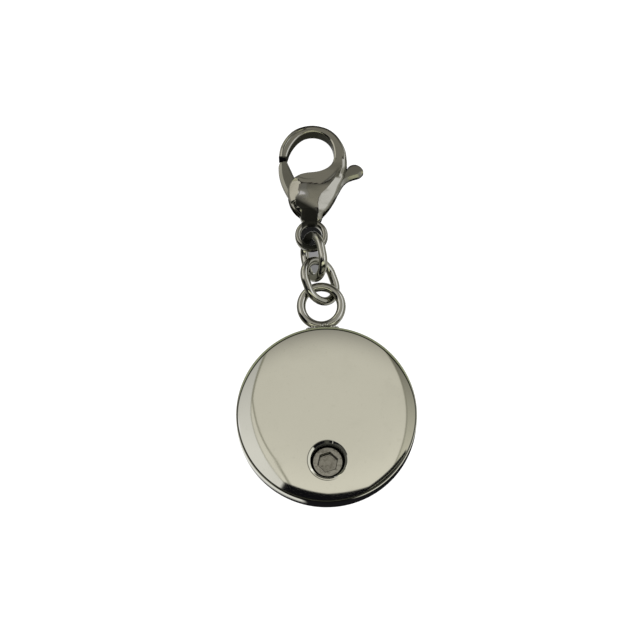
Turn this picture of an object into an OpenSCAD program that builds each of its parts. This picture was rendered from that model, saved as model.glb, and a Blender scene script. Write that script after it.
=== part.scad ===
// Disc charm with a lobster clasp, in polished stainless steel.
// A disc with a soldered ring and a screw plug hangs on two oval links from the clasp, and the whole
// charm lies on its back. Lengths are millimetres and angles are degrees.
// Frame: the origin is on the resting surface under the disc's centre, +Y runs from the disc towards
// the clasp, +Z points up through the disc.

/* [Disc] */
// Diameter of the disc
disc_d = 20; // [19:0.5:22]
// Thickness of the disc at its centre
disc_t = 3.7; // [3.6:0.05:4]
// Slope of the domed upper face where its edge starts to round off
face_slope = 12.6; // [6:0.2:16]
// Radius of the rounding between the upper face and the rim
edge_r = 0.5; // [0.3:0.05:0.8]
// Radius of the rounding between the underside and the rim
under_edge_r = 0.6; // [0.4:0.05:0.8]

/* [Screw plug] */
// Diameter of the bore in the disc
bore_d = 3.84; // [3.6:0.04:4]
// Distance of the bore below the disc's centre
bore_offset = 5.35; // [5:0.05:5.6]
// Distance of the bore to the left of the line from the ring to the disc's centre
bore_shift = 0.12; // [0:0.02:0.2]
// Width of the chamfer round the bore's mouth
bore_mouth = 0.34; // [0.2:0.02:0.4]
// Radial clearance of the plug in its bore
plug_gap = 0.04; // [0.02:0.01:0.08]
// Length of the plug
plug_len = 1.5; // [1.2:0.1:1.7]
// Depth of the plug's top below the upper face
plug_recess = 1; // [0.6:0.1:1.2]
// Width across the flats of the hex socket
socket_af = 2; // [1.5:0.1:2.2]
// Depth of the hex socket
socket_depth = 0.8; // [0.7:0.1:1.1]

/* [Ring and links] */
// Outside diameter of the soldered ring
ring_d = 5.48; // [5.4:0.02:5.6]
// Wire of the soldered ring
ring_wire = 1; // [0.9:0.02:1]
// Depth to which the ring is sunk in the disc's rim
ring_sink = 0.09; // [0.05:0.02:0.15]
// Wire of the oval links
link_wire = 0.95; // [0.8:0.01:0.95]
// Radius of a link's round ends, to the middle of the wire
link_r = 2; // [2:0.01:2.02]
// Length of a link's straight sides
link_straight = 0.8; // [0.78:0.01:0.82]

/* [Clasp] */
// Thickness of the hook
hook_t = 2.1; // [1.9:0.05:2.1]
// Thickness of the shell where it bulges most
shell_t = 3.1; // [2.8:0.05:3.3]
// Outside diameter of the eye
eye_d = 3.68; // [3.6:0.02:3.7]
// Thickness of the eye
eye_t = 1.1; // [0.9:0.05:1.1]
// Width of the eye's rim
eye_rim = 0.65; // [0.55:0.01:0.65]
// Thickness of the lever
lever_t = 1; // [0.8:0.05:1.1]
// Clearance on each side of the lever in its slot
lever_gap = 0.07; // [0.04:0.01:0.1]
// Diameter of the pin that the lever turns on
pin_d = 0.9; // [0.8:0.05:1]
// Radial clearance of the lever on its pin
pin_gap = 0.04; // [0.02:0.01:0.08]

/* [Hidden] */
$fn = 64;

eps = 0.01;
seat_gap = 0.02;
steel = "#b4b0a4";
dark_steel = "#6f6b62";

// Disc: derived sizes
disc_r = disc_d / 2;
mid_z = disc_t / 2;
face_power = 4;
face_end_r = disc_r - edge_r * (1 - sin(face_slope));
face_rise = face_end_r * tan(face_slope) / face_power;
edge_z = disc_t - face_rise - edge_r * cos(face_slope);
edge_steps = 8;
face_steps = 14;
bore_at = [-bore_shift, -bore_offset];
pocket_depth = 0.4;
pocket_step = 0.4;
plug_top = disc_t - plug_recess;
plug_bottom = plug_top - plug_len;
plug_r = bore_d / 2 - plug_gap;
plug_chamfer = 0.25;
socket_cone = 0.3;
socket_turn = 15;

// Ring: derived sizes
ring_mid_r = (ring_d - ring_wire) / 2;
ring_y = disc_r - ring_sink + ring_d / 2;
fillet_r = 0.25;
fillet_t = 0.7;
fillet_y = (pow(disc_r + fillet_r, 2) - pow(ring_d / 2 + fillet_r, 2) + pow(ring_y, 2)) / (2 * ring_y);
fillet_x = sqrt(pow(disc_r + fillet_r, 2) - pow(fillet_y, 2));

// Links: centre, then turn about Z, dip about X and roll about the link's long axis
link_1_at = [-0.57, 18.31, 2.28];
link_1_turn = 8;
link_1_dip = -1;
link_1_roll = -62.7;
link_2_at = [0, 15.6, 1.8];
link_2_turn = 18;
link_2_dip = 9;
link_2_roll = 37;

// Clasp: its own frame has the origin in the eye's centre, +Y towards the hook and +Z up
clasp_at = [-0.72, 20.77, 2.16];
clasp_turn = -2;
clasp_dip = -4.8;
eye_mid_r = (eye_d - eye_rim) / 2;
eye_round = eye_rim / 2;
pivot = [-0.55, 3.35];
hub_r = 0.95;
pin_len = 2.1;
section_points = 24;

// Rows of the clasp's body from the neck, round the hook and down to its tip.
// Each row is a section: its left or inner edge (x, y), its right or outer edge (x, y), how far it
// swells from the hook's thickness (0) to the shell's (1), and how square its corners are.
CLASP_ROWS = [
    [-0.60,  1.35,  0.60,  1.35, -1.00, 2.6],
    [-1.10,  1.78,  1.08,  1.78, -0.80, 2.6],
    [-1.32,  2.30,  1.28,  2.30, -0.20, 2.6],
    [-1.85,  2.85,  1.72,  2.85,  0.40, 2.5],
    [-2.30,  3.60,  2.30,  3.60,  0.80, 2.5],
    [-2.55,  4.40,  2.87,  4.40,  1.00, 2.5],
    [-2.60,  5.15,  3.30,  5.15,  1.00, 2.5],
    [-2.47,  5.90,  3.60,  5.85,  0.88, 2.6],
    [-2.12,  6.55,  3.82,  6.45,  0.68, 2.8],
    [-1.50,  7.02,  3.95,  7.00,  0.48, 3.0],
    [-0.70,  7.22,  4.03,  7.50,  0.30, 3.2],
    [ 0.20,  7.27,  4.08,  7.95,  0.16, 3.4],
    [ 1.05,  7.45,  4.10,  8.30,  0.08, 3.6],
    [ 1.80,  7.82,  4.10,  8.65,  0.03, 3.8],
    [ 2.35,  8.35,  4.07,  9.00,  0.00, 4.0],
    [ 2.60,  9.00,  4.03,  9.40,  0.00, 4.0],
    [ 2.62,  9.80,  3.92, 10.00,  0.00, 4.0],
    [ 2.42, 10.75,  3.52, 10.95,  0.00, 4.0],
    [ 1.95, 11.48,  2.85, 11.93,  0.00, 4.0],
    [ 1.25, 11.98,  1.85, 12.70,  0.00, 4.0],
    [ 0.30, 12.20,  0.40, 13.10,  0.00, 4.0],
    [-0.65, 12.02, -0.95, 12.92,  0.00, 4.0],
    [-1.40, 11.50, -2.00, 12.37,  0.00, 4.0],
    [-1.98, 10.80, -2.85, 11.45,  0.00, 4.0],
    [-2.38, 10.05, -3.38, 10.38,  0.00, 4.0],
    [-2.62,  9.30, -3.58,  9.30, -0.05, 3.6],
];

// Slot for the lever, seen along the pin: open to both sides, with a web between gate and tab
slot_floor_y = 2.25;
slot_left_x = -5;
slot_right_x = 8;
slot_top_y = 8;
tab_angle = 38;
tab_rise = tan(tab_angle);
web_gap = 0.08;
web_foot_x = -0.12;
web_head_x = 0.05;

// Lever outline
head_at = [5.1, 7.6];
head_r = 0.78;
head_end_angle = -75;
tab_bend = [3.1, 5.4];
tab_top_at = head_at + head_r * [-sin(tab_angle), cos(tab_angle)];
tab_bow = [3.9, 6.5];
tab_root_bow = [1.6, 3.3];
tab_foot_x = -0.3;
hub_from = -63;
hub_to = -150;
gate_bow = [-3.8, 5.9];
gate_end = [[-3.62, 8.35], [-3.5, 8.7], [-3.3, 8.85], [-2.66, 8.85]];
gate_foot = [-0.85, 4.6];
curve_steps = 8;

function arc(centre, r, from, to, steps) =
    [for (i = [0:steps]) let (a = from + (to - from) * i / steps) centre + r * [cos(a), sin(a)]];

function rest(points) = [for (i = [1:len(points) - 1]) points[i]];

function bezier(a, b, c, steps) =
    [for (i = [0:steps]) let (t = i / steps) (1 - t) * (1 - t) * a + 2 * t * (1 - t) * b + t * t * c];

function tab_top_y(x) = tab_top_at[1] + (x - tab_top_at[0]) * tab_rise;

tab_foot = [tab_foot_x, tab_top_y(tab_foot_x)];

// Half of the disc's section, from the centre of its underside out, up the rim and back to the centre
function disc_section() = concat(
    [[0, 0]],
    arc([disc_r - under_edge_r, under_edge_r], under_edge_r, -90, 0, edge_steps),
    arc([disc_r - edge_r, edge_z], edge_r, 0, 90 - face_slope, edge_steps),
    [for (i = [1:face_steps])
        let (s = 1 - i / face_steps) [face_end_r * s, disc_t - face_rise * pow(s, face_power)]]
);

module solder_web() {
    translate([0, 0, mid_z])
        linear_extrude(height = fillet_t, center = true)
            difference() {
                translate([-fillet_x, disc_r - fillet_t])
                    square([2 * fillet_x, fillet_y - disc_r + fillet_t]);
                for (side = [-1, 1])
                    translate([side * fillet_x, fillet_y])
                        circle(r = fillet_r);
            }
}

module disc_body() {
    color(steel)
        difference() {
            union() {
                rotate_extrude()
                    polygon(disc_section());
                translate([0, ring_y, mid_z])
                    rotate_extrude()
                        translate([ring_mid_r, 0])
                            circle(d = ring_wire);
                solder_web();
            }
            translate([each bore_at, plug_bottom - seat_gap])
                cylinder(d = bore_d, h = disc_t);
            translate([each bore_at, plug_bottom - pocket_depth])
                cylinder(r = plug_r - pocket_step, h = pocket_depth);
            translate([each bore_at, disc_t - bore_mouth])
                cylinder(r1 = bore_d / 2, r2 = bore_d / 2 + bore_mouth, h = bore_mouth);
        }
}

module screw_plug() {
    color(dark_steel)
        translate([each bore_at, plug_bottom])
            difference() {
                rotate_extrude()
                    polygon([
                        [0, 0],
                        [plug_r - plug_chamfer, 0],
                        [plug_r, plug_chamfer],
                        [plug_r, plug_len - plug_chamfer],
                        [plug_r - plug_chamfer, plug_len],
                        [0, plug_len]
                    ]);
                translate([0, 0, plug_len - socket_depth])
                    rotate([0, 0, socket_turn])
                        cylinder(d = socket_af / cos(30), h = socket_depth + eps, $fn = 6);
                translate([0, 0, plug_len - socket_depth - socket_cone])
                    cylinder(r1 = 0, r2 = socket_af / 2, h = socket_cone + eps);
            }
}

// Oval link about the origin, in the XY plane with its long axis along Y
module oval_link() {
    for (side = [0, 1])
        rotate([0, 0, 180 * side]) {
            translate([0, link_straight / 2, 0])
                rotate_extrude(angle = 180)
                    translate([link_r, 0])
                        circle(d = link_wire, $fn = 32);
            translate([link_r, link_straight / 2, 0])
                rotate([90, 0, 0])
                    cylinder(d = link_wire, h = link_straight, $fn = 32);
        }
}

module link_1() {
    color(steel)
        translate(link_1_at)
            rotate([0, 0, link_1_turn])
                rotate([link_1_dip, 0, 0])
                    rotate([0, link_1_roll, 0])
                        oval_link();
}

module link_2() {
    color(steel)
        translate(link_2_at)
            rotate([0, 0, link_2_turn])
                rotate([link_2_dip, 0, 0])
                    rotate([0, link_2_roll, 0])
                        oval_link();
}

module place_clasp() {
    translate(clasp_at)
        rotate([0, 0, clasp_turn])
            rotate([clasp_dip, 0, 0])
                children();
}

function sign_pow(value, power) = sign(value) * pow(abs(value), power);

// One point of a row's section, which stands on the line between the row's two edges
function row_point(row, angle) =
    let (
        left = [row[0], row[1]],
        right = [row[2], row[3]],
        half_t = (hook_t + row[4] * (shell_t - hook_t)) / 2,
        across = sign_pow(cos(angle), 2 / row[5]),
        flat_at = (left + right) / 2 + across * (right - left) / 2
    )
    [flat_at[0], flat_at[1], half_t * sign_pow(sin(angle), 2 / row[5])];

module clasp_shell() {
    rows = len(CLASP_ROWS);
    n = section_points;
    points = [for (row = CLASP_ROWS) for (k = [0:n - 1]) row_point(row, 360 * (k + 0.5) / n)];
    sides = [
        for (i = [0:rows - 2]) for (k = [0:n - 1])
            let (a = i * n + k, b = i * n + (k + 1) % n)
            each [[a, b, a + n], [b, b + n, a + n]]
    ];
    first_cap = [for (k = [0:n - 1]) n - 1 - k];
    last_cap = [for (k = [0:n - 1]) (rows - 1) * n + k];
    polyhedron(points, concat([first_cap, last_cap], sides));
}

module clasp_eye() {
    rotate_extrude() {
        for (side = [-1, 1])
            translate([eye_mid_r, side * (eye_t / 2 - eye_round)])
                circle(r = eye_round, $fn = 24);
        translate([eye_mid_r - eye_round, eye_round - eye_t / 2])
            square([eye_rim, eye_t - eye_rim]);
    }
}

module lever_slot() {
    linear_extrude(height = lever_t + 2 * lever_gap, center = true)
        polygon([
            [slot_left_x, slot_floor_y],
            [slot_right_x, slot_floor_y],
            [slot_right_x, tab_top_y(slot_right_x) + web_gap],
            [web_foot_x, tab_top_y(web_foot_x) + web_gap],
            [web_head_x, slot_top_y],
            [slot_left_x, slot_top_y]
        ]);
}

module clasp_body() {
    color(steel)
        place_clasp()
            difference() {
                union() {
                    clasp_shell();
                    clasp_eye();
                }
                lever_slot();
                translate(pivot)
                    cylinder(d = pin_d + 2 * seat_gap, h = pin_len + 2 * seat_gap, center = true);
            }
}

// Clockwise from the top of the thumb tab: its round head, its lower edge, the hub, the gate's outer
// edge, its blunt end and its inner edge
function lever_outline() =
    let (
        head = arc(head_at, head_r, 90 + tab_angle, head_end_angle, 2 * curve_steps),
        hub = arc(pivot, hub_r, hub_from, hub_to, curve_steps)
    )
    concat(
        head,
        rest(bezier(head[2 * curve_steps], tab_bow, tab_bend, curve_steps)),
        rest(bezier(tab_bend, tab_root_bow, hub[0], curve_steps)),
        rest(hub),
        rest(bezier(hub[curve_steps], gate_bow, gate_end[0], curve_steps)),
        rest(gate_end),
        [gate_foot, tab_foot]
    );

module clasp_lever() {
    color(steel)
        place_clasp()
            difference() {
                linear_extrude(height = lever_t, center = true)
                    polygon(lever_outline());
                translate(pivot)
                    cylinder(d = pin_d + 2 * pin_gap, h = 2 * lever_t, center = true);
            }
}

module lever_pin() {
    color(dark_steel)
        place_clasp()
            translate(pivot)
                cylinder(d = pin_d, h = pin_len, center = true);
}

disc_body();
screw_plug();
link_1();
link_2();
clasp_body();
clasp_lever();
lever_pin();
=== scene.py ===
"""Disc charm with a lobster clasp: the visual pieces, their steel finishes and the studio stage.

The pieces are modelled in millimetres and brought to metres when they are finished. The clasp and its
lever are modelled in the clasp's own frame, with its eye at the origin and the hook towards +Y.
"""
import math

import bmesh
import bpy
from mathutils import Matrix, Vector


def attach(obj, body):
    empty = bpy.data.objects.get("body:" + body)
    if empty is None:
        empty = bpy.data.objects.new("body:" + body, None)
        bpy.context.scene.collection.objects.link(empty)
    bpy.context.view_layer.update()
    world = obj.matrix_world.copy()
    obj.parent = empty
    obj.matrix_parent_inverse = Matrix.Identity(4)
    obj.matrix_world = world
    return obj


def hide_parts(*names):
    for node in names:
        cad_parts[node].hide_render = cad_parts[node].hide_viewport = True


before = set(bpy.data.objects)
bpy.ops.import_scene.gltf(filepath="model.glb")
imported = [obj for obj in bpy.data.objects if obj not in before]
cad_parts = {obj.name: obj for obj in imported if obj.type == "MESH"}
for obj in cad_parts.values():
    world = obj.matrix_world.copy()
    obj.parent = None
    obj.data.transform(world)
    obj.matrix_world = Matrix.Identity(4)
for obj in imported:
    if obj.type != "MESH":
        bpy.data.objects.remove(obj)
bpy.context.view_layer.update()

bl_info = {
    "name": "Disc charm with lobster clasp",
    "version": (1, 0, 0),
    "blender": (4, 5, 0),
    "location": "3D View > Sidebar > Charm",
    "description": "Builds a polished steel disc charm with its chain links and lobster clasp",
    "category": "Add Mesh",
}

MM = 0.001
SHARP_ANGLE = 32

# Places that the pieces share with the solids, in millimetres and degrees
BORE_AT = (-0.12, -5.35)
RING_MID_Z = 1.85
RING_SINK = 0.09
LINKS = {
    "upper_link": ("link_1", (-0.57, 18.31, 2.28), 8, -1, -62.7),
    "lower_link": ("link_2", (0, 15.6, 1.8), 18, 9, 37),
}
CLASP_AT = (-0.72, 20.77, 2.16)
CLASP_TURN = -2
CLASP_DIP = -4.8
PIVOT = (-0.55, 3.35)

# The disc's edge: a wide arc from the wall, and a tight break where it meets the face at an angle
EDGE_WIDE = 0.5
EDGE_TIGHT = 0.14
EDGE_MEET = math.radians(50)
FACE_STEPS = 46

# The bore: room under the plug, the pocket below it, and its mouth's depth as a share of its width, its
# drop below the face's top and its lean in degrees
PLUG_SEAT_GAP = 0.02
POCKET_DEPTH = 0.38
POCKET_STEP = 0.44
MOUTH_SLOPE = 0.62
MOUTH_DROP = 0.052
MOUTH_LEAN = 1.5

# The plug: its bevel, and the drill's cone at the bottom of the socket
PLUG_BEVEL = 0.27
DRILL_SHARE = 0.97
DRILL_CONE = 0.2

# Solder beads at the ring's foot: middle and half sizes
BEADS = (
    ((-1.55, 10.02, 2.0), (0.28, 0.2, 0.3)),
    ((-1.02, 10.16, 2.2), (0.32, 0.2, 0.24)),
    ((-0.6, 10.02, 2.2), (0.3, 0.18, 0.2)),
    ((-0.07, 10.32, 2.34), (0.25, 0.2, 0.17)),
    ((0.48, 10.38, 2.34), (0.24, 0.2, 0.17)),
    ((0.2, 10.05, 2.25), (0.3, 0.2, 0.2)),
    ((1.17, 10.14, 2.2), (0.34, 0.22, 0.25)),
    ((1.6, 10.02, 1.98), (0.28, 0.2, 0.28)),
)

# Rows of the clasp's body from the neck round the hook to its tip: left or inner edge, right or outer
# edge, and the height of the front face at its edge above the middle
CLASP_ROWS = [
    (-0.60, 1.35, 0.60, 1.35, 0.38),
    (-1.10, 1.78, 1.08, 1.78, 0.48),
    (-1.32, 2.30, 1.28, 2.30, 0.60),
    (-1.85, 2.85, 1.72, 2.85, 0.65),
    (-2.30, 3.60, 2.24, 3.60, 0.69),
    (-2.55, 4.40, 2.68, 4.40, 0.70),
    (-2.60, 5.15, 3.03, 5.15, 0.71),
    (-2.47, 5.90, 3.33, 5.85, 0.74),
    (-2.12, 6.55, 3.60, 6.45, 0.80),
    (-1.50, 7.02, 3.82, 7.00, 0.88),
    (-0.70, 7.22, 3.98, 7.50, 0.97),
    (0.20, 7.27, 4.08, 7.95, 1.04),
    (1.05, 7.45, 4.10, 8.30, 1.05),
    (1.80, 7.82, 4.10, 8.65, 1.05),
    (2.35, 8.35, 4.07, 9.00, 1.05),
    (2.60, 9.00, 4.03, 9.40, 1.05),
    (2.62, 9.80, 3.92, 10.00, 1.05),
    (2.42, 10.75, 3.52, 10.95, 1.05),
    (1.95, 11.48, 2.85, 11.93, 1.05),
    (1.25, 11.98, 1.85, 12.67, 1.05),
    (0.30, 12.20, 0.40, 13.04, 1.05),
    (-0.65, 12.02, -0.95, 12.88, 1.05),
    (-1.40, 11.50, -2.00, 12.37, 1.05),
    (-1.98, 10.80, -2.85, 11.45, 1.05),
    (-2.38, 10.05, -3.38, 10.38, 1.05),
    (-2.62, 9.30, -3.58, 9.30, 1.05),
]
FIRST_HOOK_ROW = 14
SHELL_STEPS = 120
HOOK_STEPS = 180
WALL_STEPS = 6
HOOK_HALF = 1.05

# Creases on the front of the shell, as (y, x) down its two sides and (x, y) along its top, and the height
# of the raised pillow between them, as (y, z)
LEFT_CREASE = [(1.3, -0.45), (1.8, -0.85), (2.3, -1.15), (2.85, -1.65), (3.3, -2.0), (3.66, -2.0),
               (3.94, -1.9), (4.67, -1.49), (5.31, -1.31), (6.05, -1.17), (6.7, -1.6), (7.1, -1.1)]
RIGHT_CREASE = [(1.3, 0.42), (1.8, 0.75), (2.79, 0.86), (3.44, 0.73), (3.99, 0.78), (4.55, 1.09),
                (5.09, 1.7), (5.55, 2.05), (6.29, 2.57), (7.12, 3.01), (7.95, 3.32), (9.0, 3.6)]
TOP_CREASE = [(-3.0, 7.2), (-1.8, 6.9), (-1.4, 6.45), (-1.1, 6.1), (-0.7, 6.02), (-0.18, 5.99),
              (0.6, 5.88), (1.19, 5.85), (1.7, 6.2), (2.58, 7.07), (3.28, 8.13), (4.2, 9.2)]
PILLOW = [(1.3, 0.42), (1.8, 0.62), (2.2, 0.785), (2.6, 0.945), (3.0, 1.11), (3.4, 1.205), (3.8, 1.29),
          (4.2, 1.375), (4.6, 1.435), (5.0, 1.455), (5.5, 1.43), (5.85, 1.39), (6.3, 1.3), (7.2, 1.2),
          (8.2, 1.08)]
PILLOW_SLOPE = 0.253
PILLOW_REACH = 0.86

# How far the clasp's face drops towards its edge, as (distance from the edge, drop): a rounding and a
# bevel, and on the outer edge of the hook's tip a broad rounding, a ridge and a groove behind it
RIM_DROP = [(0, 0.2), (0.02, 0.135), (0.04, 0.1), (0.06, 0.078), (0.08, 0.066), (0.095, 0.0585),
            (0.185, 0.0135), (0.2, 0.006), (0.22, 0.001), (0.26, 0)]
TIP_DROP = [(0, 0.24), (0.02, 0.16), (0.05, 0.11), (0.08, 0.09), (0.15, 0.074), (0.17, 0.071),
            (0.19, 0.0655), (0.2, 0.0615), (0.32, 0.0115), (0.33, 0.009), (0.34, 0.012), (0.35, 0.019),
            (0.44, 0.105), (0.46, 0.11), (0.51, 0.095)]

# The slot for the lever: its foot, its left side, and its roof, which starts from the left of the tab's
# head, rises with the tab and opens where the tab leaves the shell
SLOT_FOOT = 2.25
SLOT_TOP = 8
SLOT_LEFT = ((0.05, SLOT_TOP), (-5, SLOT_TOP))
SLOT_TURN_X = -0.12
SLOT_EXIT_X = 3.88
TAB_RISE = math.tan(math.radians(38))
HEAD_AT = (5.1, 7.6)
HEAD_R = 0.78
HEAD_LEFT = 128
ROOF_GAP = 0.08

# The lever: its hub, the gate's tip and foot, and the tab's bend, upper corner and round head
HUB_R = 0.95
HUB_FROM = -150
HUB_TO = -63
PIN_HOLE_R = 0.49
GATE_TIP = (-3.62, 8.35)
GATE_INNER = (-2.66, 8.85)
GATE_FOOT = (-0.85, 4.6)
GATE_END = [((-3.3, 8.85), 0), ((-3.42, 8.79), 0), ((-3.52, 8.66), 0.02), ((-3.58, 8.5), 0.04)]
TAB_BEND = (3.3, 5.45)
TAB_TOP = (4.0, 7.73)
TAB_FOOT = (-0.3, TAB_TOP[1] + (-0.3 - TAB_TOP[0]) * TAB_RISE)
TAB_UNDER = [(4.35, 6.58), (4.75, 6.72), (5.1, 6.82), (5.36, 6.9), (5.58, 7.02), (5.75, 7.18),
             (5.86, 7.34), (5.91, 7.46), (5.93, 7.55)]
TAB_OVER = [TAB_TOP, (4.17, 8.05), (4.4, 8.29), (4.72, 8.42), (5.05, 8.43), (5.38, 8.31), (5.66, 8.08),
            (5.83, 7.83), (5.9, 7.7)]
LEVER_INNER_EDGE = [(0, 0.2), (0.02, 0.12), (0.05, 0.06), (0.1, 0.02), (0.14, 0)]

# Each steel's own polish: roughness, smudges, hairlines, waviness, and relief in millimetres
POLISH = {
    "disc": (0.045, 0.04, 0.05, 0.0, 0.001),
    "link": (0.09, 0.25, 0.2, 0.5, 0.006),
    "clasp": (0.1, 0.2, 0.2, 0.5, 0.004),
    "lever": (0.1, 0.2, 0.2, 0.5, 0.004),
    "pin": (0.25, 0.2, 0.6, 0.1, 0.004),
}

# Places of the clasp's painted shade: middle of the hook, of the painted dark line on its left arm, and of
# the neck
HOOK_MIDDLE = (0.0, 9.6, 0.0)
ARM_SHADE_MIDDLE = (-0.1, 9.5, 0.0)
ARM_SHADE_R = 3.03
NECK_AT = (0.0, 1.4, 0.0)
NECK_SIZE = (0.66, 0.85, 1.0)

# Colours of the painted shade, the painted dark edge lines and the olive painted reflection on the steel, of
# the plug's random mottle, and of the dark parts of the stage
WHITE = (1, 1, 1, 1)
DARK_PAINTED_SHADE = (0.032, 0.032, 0.022, 1)
BLACK_PAINTED_SHADE = (0.006, 0.006, 0.004, 1)
OLIVE_PAINTED_REFLECTION = (0.25, 0.27, 0.16, 1)
PAINTED_EDGE_SHADE = (0.02, 0.02, 0.015, 1)
SOCKET_PAINTED_SHADE = (0.012, 0.012, 0.01, 1)
TURNED_MOTTLE_AND_SHADE = (0.14, 0.13, 0.1, 1)
NIGHT = (0.01, 0.01, 0.012, 1)

# Shaded spots of the floor in the small gaps of the chain: middle, half sizes and strength
FLOOR_SPOTS = (
    ((-0.76, 21.42), (1.6, 1.6), 0.995),
    ((-0.66, 18.98), (0.92, 0.92), 0.74),
    ((-0.5, 17.6), (0.6, 0.85), 0.8),
)


def object_mode():
    """Leaves edit mode if an object is in it."""
    if bpy.context.object and bpy.context.object.mode != "OBJECT":
        bpy.ops.object.mode_set(mode="OBJECT")


def select_only(obj):
    """Makes obj the one selected and active object, in object mode."""
    object_mode()
    bpy.ops.object.select_all(action="DESELECT")
    obj.select_set(True)
    bpy.context.view_layer.objects.active = obj


def start(primitive, **settings):
    """Adds a primitive on its own and returns it, in edit mode with everything selected."""
    object_mode()
    bpy.ops.object.select_all(action="DESELECT")
    getattr(bpy.ops.mesh, f"primitive_{primitive}_add")(**settings)
    bpy.ops.object.mode_set(mode="EDIT")
    return bpy.context.object


def cylinder(vertices, radius, depth, location):
    """Adds a cylinder, in edit mode."""
    return start("cylinder", vertices=vertices, radius=radius, depth=depth, location=location)


def pick(obj, kind, wanted):
    """Selects the vertices, edges or faces of obj that wanted says, and nothing else."""
    bpy.ops.mesh.select_mode(type=kind)
    bpy.ops.mesh.select_all(action="DESELECT")
    mesh = bmesh.from_edit_mesh(obj.data)
    for item in {"VERT": mesh.verts, "EDGE": mesh.edges, "FACE": mesh.faces}[kind]:
        if wanted(item):
            item.select_set(True)
    mesh.select_flush_mode()
    bmesh.update_edit_mesh(obj.data)


def raise_face(profile):
    """Pulls the selected round face through (radius, height) steps, which start at its own size."""
    radius, height = profile[0]
    for next_radius, next_height in profile[1:]:
        lift = (0, 0, next_height - height)
        bpy.ops.mesh.extrude_region_move(TRANSFORM_OT_translate={"value": lift})
        share = next_radius / radius
        bpy.ops.transform.resize(value=(share, share, 1), center_override=(0, 0, next_height))
        radius, height = next_radius, next_height


def pull_apart(obj, axis, distance):
    """Moves the two halves of a closed ring apart along an axis, which stretches the faces between."""
    for side in (-1, 1):
        pick(obj, "VERT", lambda v: v.co[axis] * side > 1e-4)
        bpy.ops.transform.translate(value=[side * distance * (i == axis) for i in range(3)])
    object_mode()


def place_mesh(obj):
    """Puts an object's place, turn and size into its mesh."""
    select_only(obj)
    bpy.ops.object.transform_apply(location=True, rotation=True, scale=True)


def combine(obj, tool, operation="DIFFERENCE"):
    """Cuts tool out of obj or welds it to obj, and deletes tool."""
    place_mesh(tool)
    select_only(obj)
    bpy.ops.object.modifier_add(type="BOOLEAN")
    modifier = obj.modifiers[-1]
    modifier.operation, modifier.solver, modifier.object = operation, "EXACT", tool
    bpy.ops.object.modifier_apply(modifier=modifier.name)
    if not obj.data.polygons:
        raise RuntimeError(f"{obj.name} has no faces left after {tool.name}")
    bpy.data.objects.remove(tool)


def tidy_normals(obj):
    """Merges doubles and turns every face outwards."""
    select_only(obj)
    bpy.ops.object.mode_set(mode="EDIT")
    bpy.ops.mesh.select_all(action="SELECT")
    bpy.ops.mesh.remove_doubles(threshold=1e-5)
    bpy.ops.mesh.normals_make_consistent(inside=False)
    bpy.ops.object.mode_set(mode="OBJECT")


def loft(rings):
    """Pulls a filled ring of points from row to row, by extrusions whose points are then placed."""
    obj = start("circle", vertices=len(rings[0]), radius=1, fill_type="NGON")
    mesh = bmesh.from_edit_mesh(obj.data)
    mesh.verts.ensure_lookup_table()
    order = [v.index for v in mesh.faces[:][0].verts]
    for i, point in zip(order, rings[0]):
        mesh.verts[i].co = point
    bmesh.update_edit_mesh(obj.data)
    bpy.ops.mesh.select_all(action="SELECT")
    for ring in rings[1:]:
        bpy.ops.mesh.extrude_region_move()
        mesh = bmesh.from_edit_mesh(obj.data)
        mesh.verts.ensure_lookup_table()
        known = set(order)
        pulled = []
        for i in order:
            ends = [e.other_vert(mesh.verts[i]) for e in mesh.verts[i].link_edges]
            pulled.append(next(v for v in ends if v.select and v.index not in known))
        for vertex, point in zip(pulled, ring):
            vertex.co = point
        mesh.verts.index_update()
        order = [v.index for v in pulled]
        bmesh.update_edit_mesh(obj.data)
    tidy_normals(obj)
    return obj


def prism(outline, bottom, top):
    """A straight-sided block over an outline, for cutting."""
    return loft([[(x, y, z) for x, y in outline] for z in (bottom, top)])


def clasp_place():
    """Where the clasp's own frame lies on the charm."""
    turn = Matrix.Rotation(math.radians(CLASP_TURN), 4, "Z")
    dip = Matrix.Rotation(math.radians(CLASP_DIP), 4, "X")
    return Matrix.Translation(CLASP_AT) @ turn @ dip


def finish_piece(obj, name, body, node, material):
    """Names a piece, brings it to metres at its place, smooths it and tells the frame what it is."""
    select_only(obj)
    obj.matrix_world = Matrix.Scale(MM, 4) @ obj.matrix_world
    bpy.ops.object.transform_apply(location=True, rotation=True, scale=True)
    bpy.ops.object.shade_smooth_by_angle(angle=math.radians(SHARP_ANGLE))
    obj.name = obj.data.name = name
    obj.data.materials.clear()
    obj.data.materials.append(material)
    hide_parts(node)
    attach(obj, body)


# Curves and steps


def parts_of(count, first=1):
    """Even shares from first / count up to 1."""
    return [i / count for i in range(first, count + 1)]


def between(table, at):
    """The value at a place in a table of (place, value), by straight lines."""
    if at <= table[0][0]:
        return table[0][1]
    for (a, low), (b, high) in zip(table, table[1:]):
        if at <= b:
            return low + (high - low) * (at - a) / (b - a)
    return table[-1][1]


def curve(table, at):
    """The value at a place in a table of (place, value), on a smooth curve."""
    if at <= table[0][0]:
        return table[0][1]
    if at >= table[-1][0]:
        return table[-1][1]
    i = next(n for n in range(1, len(table)) if at <= table[n][0]) - 1

    def slope(n):
        before, after = table[max(n - 1, 0)], table[min(n + 1, len(table) - 1)]
        return (after[1] - before[1]) / (after[0] - before[0])

    (a, low), (b, high) = table[i], table[i + 1]
    t = (at - a) / (b - a)
    lift = (2 * t ** 3 - 3 * t * t + 1) * low + (3 * t * t - 2 * t ** 3) * high
    return lift + (b - a) * ((t ** 3 - 2 * t * t + t) * slope(i) + (t ** 3 - t * t) * slope(i + 1))


def ease(low, high, value):
    """0 below low, 1 above high and a smooth step between them."""
    share = min(1, max(0, (value - low) / (high - low)))
    return share * share * (3 - 2 * share)


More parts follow.
